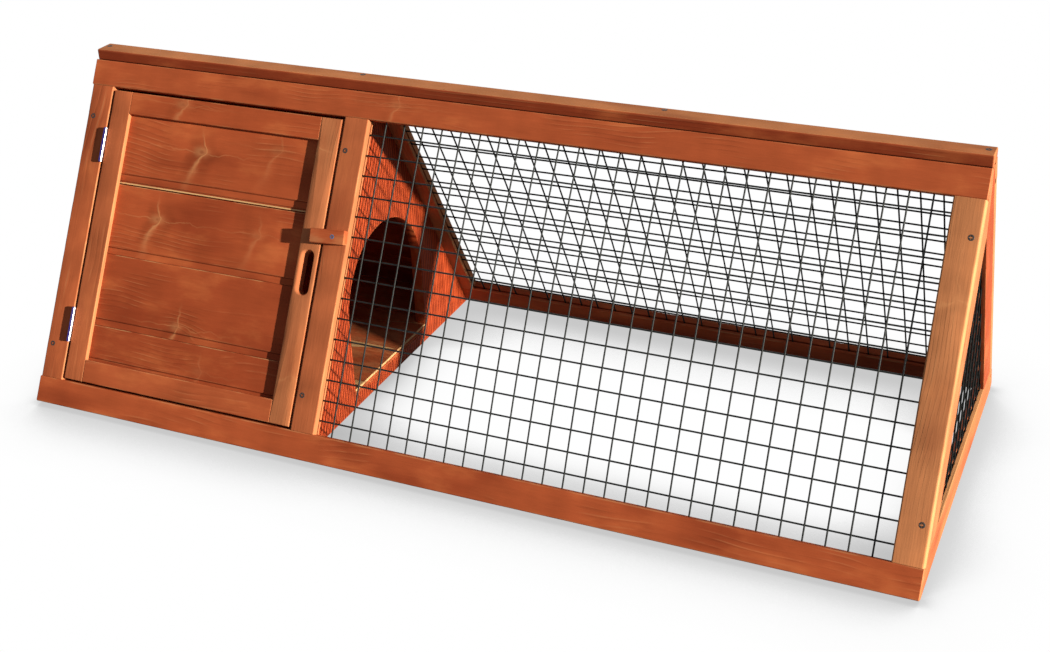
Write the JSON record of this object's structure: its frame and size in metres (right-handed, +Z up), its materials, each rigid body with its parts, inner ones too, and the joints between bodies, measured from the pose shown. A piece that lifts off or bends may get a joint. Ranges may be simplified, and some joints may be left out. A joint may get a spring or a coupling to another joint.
{
  "type": "outdoor rabbit run",
  "caption": "Low triangular timber run for rabbits: leaning sides of wire mesh, and a boarded den with a hinged door, a raised floor and an arched way in.",
  "frame": {"origin": "middle of the base, on the ground, under the ridge", "axes": "+X along the ridge towards the open mesh end, -Y towards the side with the door, +Z up"},
  "size_m": [1.153, 0.4858, 0.4174],
  "materials": {
    "panel_battens": "planed softwood with a red-brown stain, satin",
    "door_frame": "planed softwood with a red-brown stain, satin",
    "end_frames": "planed softwood with an orange-brown stain, satin",
    "boards": "tongued and grooved softwood with a red-brown stain, satin",
    "partition": "veneered board with an orange-brown stain, satin",
    "mesh": "dark coated steel wire, satin",
    "zinc": "bright zinc plating",
    "dark_screws": "black coated screw heads"
  },
  "bodies": {
    "run": {"front_bottom_rail": "panel_battens", "front_top_rail": "panel_battens", "front_left_post": "panel_battens", "front_mid_post": "panel_battens", "front_right_post": "panel_battens", "front_mesh": "mesh", "back_bottom_rail": "panel_battens", "back_top_rail": "panel_battens", "back_left_post": "panel_battens", "back_mid_post": "panel_battens", "back_right_post": "panel_battens", "back_mesh": "mesh", "back_board_1": "boards", "back_board_2": "boards", "back_board_3": "boards", "back_board_4": "boards", "back_board_5": "boards", "right_end_rail": "end_frames", "right_end_front_stile": "end_frames", "right_end_back_stile": "end_frames", "right_end_mesh": "mesh", "left_end_rail": "end_frames", "left_end_front_stile": "end_frames", "left_end_back_stile": "end_frames", "left_end_board_1": "boards", "left_end_board_2": "boards", "left_end_board_3": "boards", "left_end_board_4": "boards", "partition": "partition", "left_floor_bearer": "end_frames", "right_floor_bearer": "end_frames", "floor_board_1": "boards", "floor_board_2": "boards", "floor_board_3": "boards", "floor_board_4": "boards", "floor_board_5": "boards", "ridge_board": "panel_battens", "ridge_screws": "dark_screws", "front_post_screws": "dark_screws", "back_post_screws": "dark_screws", "upper_hinge_frame_leaf": "zinc", "upper_hinge_pin": "zinc", "lower_hinge_frame_leaf": "zinc", "lower_hinge_pin": "zinc", "hinge_frame_screws": "zinc", "turn_button_screw": "zinc"},
    "door": {"door_hinge_stile": "door_frame", "door_lock_stile": "door_frame", "door_top_rail": "door_frame", "door_bottom_rail": "door_frame", "door_board_1": "boards", "door_board_2": "boards", "door_board_3": "boards", "door_board_4": "boards", "upper_hinge_door_leaf": "zinc", "lower_hinge_door_leaf": "zinc", "hinge_door_screws": "zinc"},
    "turn_button": {"turn_button": "door_frame"}
  },
  "joints": [
    {"name": "door_hinge", "type": "hinge", "parent": "run", "child": "door", "pos_m": [-0.5405, -0.13375, 0.20567], "axis": [0, -0.4924, -0.8704], "range_deg": [0, 170]},
    {"name": "button_turn", "type": "hinge", "parent": "run", "child": "turn_button", "pos_m": [-0.1764, -0.11214, 0.24894], "axis": [0, -0.8704, 0.4924], "continuous": true}
  ]
}
